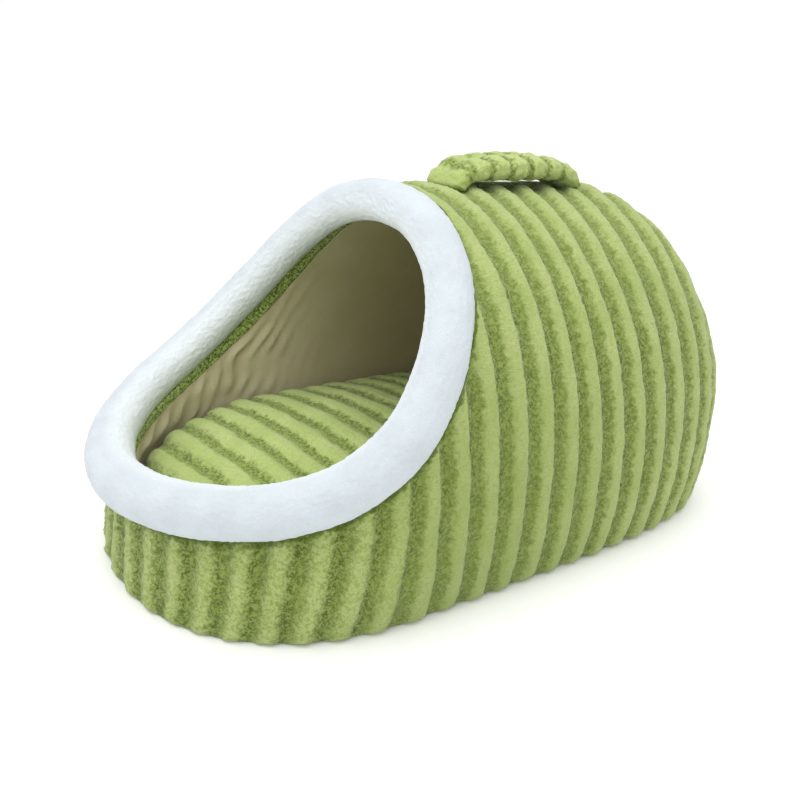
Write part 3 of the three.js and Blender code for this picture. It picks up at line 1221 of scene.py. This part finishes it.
def makeCushion():
    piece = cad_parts["cushion"].copy()
    piece.data = piece.data.copy()
    piece.name = "cushionPad"
    piece.parent = None
    bpy.context.collection.objects.link(piece)
    piece.data.materials.clear()
    tidyMesh(piece, gap=pad["mergeGap"])
    remesh = piece.modifiers.new("remesh", "REMESH")
    remesh.mode = "VOXEL"
    remesh.voxel_size = pad["voxel"]
    soften = piece.modifiers.new("soften", "SMOOTH")
    soften.iterations = pad["smoothing"]
    finer = piece.modifiers.new("finer", "SUBSURF")
    finer.levels = finer.render_levels = 1
    applyModifiers(piece)
    co = coordinates(piece)
    normals = vertexNormals(piece)
    groove, off = ribHeight(padPhase(co))
    loops = pad["crestLoops"] + (1 - pad["crestLoops"]) * groove
    lumps = noiseOf(co, pad["lumps"]) + loops * noiseOf(co, pad["loops"])
    dip = pad["depth"] * groove + pad["round"] * (2 * off) ** 2
    top = np.clip((co[:, 2] - pad["ribsFrom"]) / pad["ribsFade"], 0, 1)
    co = co - normals * ((dip + lumps) * top)[:, None]
    co[:, 2] = np.maximum(co[:, 2], pad["floor"])
    setCoordinates(piece, co)
    tidyMesh(piece, gap=1e-5)
    co = coordinates(piece)
    setRibMap(piece, np.stack([padPhase(co), co[:, 0] / ribs["pitch"]], -1))
    return piece


cushionPad = makeCushion()
# painted light: the cushion's plush brightened 1.19 times
padPlush = ribbedPlush("padPlush", crest=0.31, edge=0.09, ragged=0.16, light=1.19)
cushionPad.data.materials.append(padPlush)
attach(cushionPad, "root")
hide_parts("cushion")
print("cushion", len(cushionPad.data.polygons), "faces")

# The padded handle on the ridge: its middle line, in metres along from the widest line and
# above the floor. A line of stitches splits its short ribs into two rows of pads.
handle = {
    "route": (
        (0.099, 0.2440), (0.101, 0.2482), (0.104, 0.2522), (0.108, 0.2552), (0.114, 0.2576),
        (0.122, 0.2590), (0.138, 0.2595), (0.165, 0.2594), (0.182, 0.2588), (0.193, 0.2573),
        (0.202, 0.2545), (0.2085, 0.2503), (0.213, 0.2455), (0.2155, 0.2410),
    ),
    "width": 0.048,
    "thickness": 0.0190,
    "endThickness": 0.010,
    "endWidth": 0.82,
    "squareness": 2.8,
    "stitchDepth": 0.0036,
    "stitchWidth": 0.0034,
    "ribPitch": 0.0175,
    "grooveAt": 0.012,
    "ribDepth": 0.0024,
    "ribSharp": 2.5,
    "underShare": 0.4,  # of the ribs and stitches, on the side that faces the ridge
    "sideShare": 0.5,
    "thinnest": 0.0008,
    "taper": (0.02, 0.5),  # share of the length and power, for the thickness at both ends
    "sideTaper": (0.03, 0.4),
    "fuzz": ((0.0009, 0.0045, 17),),
    "segments": 80,
    "rings": 180,
    "samples": 400,
    "smoothing": 13,  # samples each way
}


# a soft curve through points, by averaging it with its neighbours once
def smoothLine(points):
    fine = evenly(points, handle["samples"])
    reach = handle["smoothing"]
    before = 2 * fine[0] - fine[reach - 1:0:-1]
    after = 2 * fine[-1] - fine[-2:-reach - 1:-1]
    longer = np.concatenate([before, fine, after])
    kernel = np.hanning(2 * reach + 1)[1:-1]
    kernel /= kernel.sum()
    return np.stack([np.convolve(longer[:, k], kernel, "valid") for k in range(2)], -1)


# ribs counted along the handle
def handlePhase(along):
    return (along - handle["grooveAt"]) / handle["ribPitch"]


def makeHandle():
    bpy.ops.mesh.primitive_uv_sphere_add(
        segments=handle["segments"], ring_count=handle["rings"], radius=1,
    )
    piece = bpy.context.object
    piece.name = "carryHandle"
    co = coordinates(piece)
    around = np.arctan2(co[:, 1], co[:, 0])
    share = np.arccos(np.clip(co[:, 2], -1, 1)) / math.pi
    route = np.array([(along - middle, height) for along, height in handle["route"]])
    samples = handle["samples"]
    line = evenly(smoothLine(route), samples)
    ahead = unit(np.gradient(line, axis=0))
    spots = np.arange(samples)
    y, z, aheadY, aheadZ = (
        np.interp(share * (samples - 1), spots, values) for values in (*line.T, *ahead.T)
    )
    # full and blunt in the middle, and pinched at both ends
    full = np.sqrt(np.clip(np.sin(share * math.pi), 0, 1))
    end = np.minimum(share, 1 - share)
    tapers = (handle["taper"], handle["sideTaper"])
    taper, sideTaper = (np.clip(end / length, 0, 1) ** power for length, power in tapers)
    thick = handle["endThickness"] + (handle["thickness"] - handle["endThickness"]) * full
    width = handle["width"] * (handle["endWidth"] + (1 - handle["endWidth"]) * full)
    power = 2 / handle["squareness"]
    x = signedPower(np.cos(around), power) * width / 2 * sideTaper
    high = signedPower(np.sin(around), power) * thick * taper / 2
    # a line of stitches down the middle, and short ribs across
    phase = handlePhase(y)
    stitch = np.exp(-(x / handle["stitchWidth"]) ** 2) * handle["stitchDepth"]
    off = 2 * np.abs(phase - np.floor(phase) - 0.5)
    pads = handle["ribDepth"] * off ** handle["ribSharp"]
    ribsThere = np.where(np.sin(around) > 0, pads, handle["underShare"] * pads)
    left = np.abs(high) - (stitch + ribsThere) * full
    high = np.sign(high) * np.maximum(left, handle["thinnest"] * np.abs(np.sin(around)))
    x = x - np.sign(x) * handle["sideShare"] * pads * np.abs(np.cos(around))
    setCoordinates(piece, np.stack([x, y - aheadZ * high, z + aheadY * high], -1))
    tidyMesh(piece, gap=1e-5)
    co = coordinates(piece)
    setCoordinates(piece, co + vertexNormals(piece) * noiseOf(co, handle["fuzz"])[:, None])
    setRibMap(piece, np.stack([handlePhase(co[:, 1]), co[:, 0] / ribs["pitch"]], -1))
    return piece


carryHandle = makeHandle()
# painted light: the handle's plush brightened 1.12 times
handlePlush = ribbedPlush("handlePlush", crest=0.35, edge=0.13, ragged=0.35, light=1.12)
carryHandle.data.materials.append(handlePlush)
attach(carryHandle, "root")
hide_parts("carry_handle")
print("handle", len(carryHandle.data.polygons), "faces")

# The flat panel under the bed.
basePanel = {
    "inset": 0.0135,
    "thick": 0.005,
    "corners": 144,
    "low": (0.12, 0.13, 0.09),
    "high": (0.2, 0.21, 0.15),
    "fine": (0.0015, 2.0),
    "woven": (0.3, 0.7),
    "roughness": 0.9,
}


def makeBase():
    bpy.ops.mesh.primitive_circle_add(vertices=basePanel["corners"], radius=1, fill_type="NGON")
    piece = bpy.context.object
    piece.name = "underPanel"
    co = coordinates(piece)
    angle = np.arctan2(co[:, 0], co[:, 1])
    across, along = outlinePoint(np.abs(angle), 0 * angle)
    plain = np.stack([np.sign(angle) * across, along, 0 * angle], -1)
    flat = place(drawIn(plain, basePanel["inset"]))
    flat[:, 2] = 0
    setCoordinates(piece, flat)
    pick(piece)
    bpy.ops.object.mode_set(mode="EDIT")
    bpy.ops.mesh.select_all(action="SELECT")
    bpy.ops.mesh.extrude_region_move(TRANSFORM_OT_translate={"value": (0, 0, basePanel["thick"])})
    bpy.ops.mesh.select_all(action="SELECT")
    bpy.ops.mesh.normals_make_consistent(inside=False)
    bpy.ops.object.mode_set(mode="OBJECT")
    return piece


def baseCloth():
    material, shader = newMaterial("baseCloth")
    fine = grain(material, objectPlace(material), *basePanel["fine"])
    weave = ranged(material, fine, *basePanel["woven"])
    tone = mixed(material, weave, basePanel["low"], basePanel["high"])
    material.node_tree.links.new(tone, shader.inputs["Base Color"])
    shader.inputs["Roughness"].default_value = basePanel["roughness"]
    return material


underPanel = makeBase()
underPanel.data.materials.append(baseCloth())
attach(underPanel, "root")
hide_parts("base_panel")
print("panel", round(areaOf(underPanel), 4), "m2")

# Plain studio: pale floor, one broad soft light and an even sky.
studio = {
    "floor": (0.985, 0.985, 0.985),
    "floorSize": 40,
    "sky": 1.03,
    "key": 10.5,
    "keySize": 1.3,
    "keyPlace": (0.12, -0.3, 1.25),
    "keyAim": (0, 0, 0.1),
}


def makeStudio():
    bpy.ops.mesh.primitive_plane_add(size=studio["floorSize"], location=(0, 0, 0))
    floor = bpy.context.object
    floor.name = "floor"
    material, shader = newMaterial("paleFloor")
    shader.inputs["Base Color"].default_value = (*studio["floor"], 1)
    shader.inputs["Roughness"].default_value = 1.0
    shader.inputs["Specular IOR Level"].default_value = 0.0
    floor.data.materials.append(material)
    world = bpy.data.worlds.new("studio")
    bpy.context.scene.world = world
    world.use_nodes = True
    sky = world.node_tree.nodes["Background"]
    sky.inputs["Color"].default_value = (1, 1, 1, 1)
    sky.inputs["Strength"].default_value = studio["sky"]
    key = bpy.data.lights.new("key", "AREA")
    key.energy = studio["key"]
    key.size = studio["keySize"]
    lamp = bpy.data.objects.new("key", key)
    bpy.context.collection.objects.link(lamp)
    lamp.location = studio["keyPlace"]
    aim = Vector(studio["keyAim"]) - lamp.location
    lamp.rotation_euler = aim.to_track_quat("-Z", "Y").to_euler()
    bpy.context.scene.view_settings.view_transform = "Standard"


makeStudio()
print("studio ready")
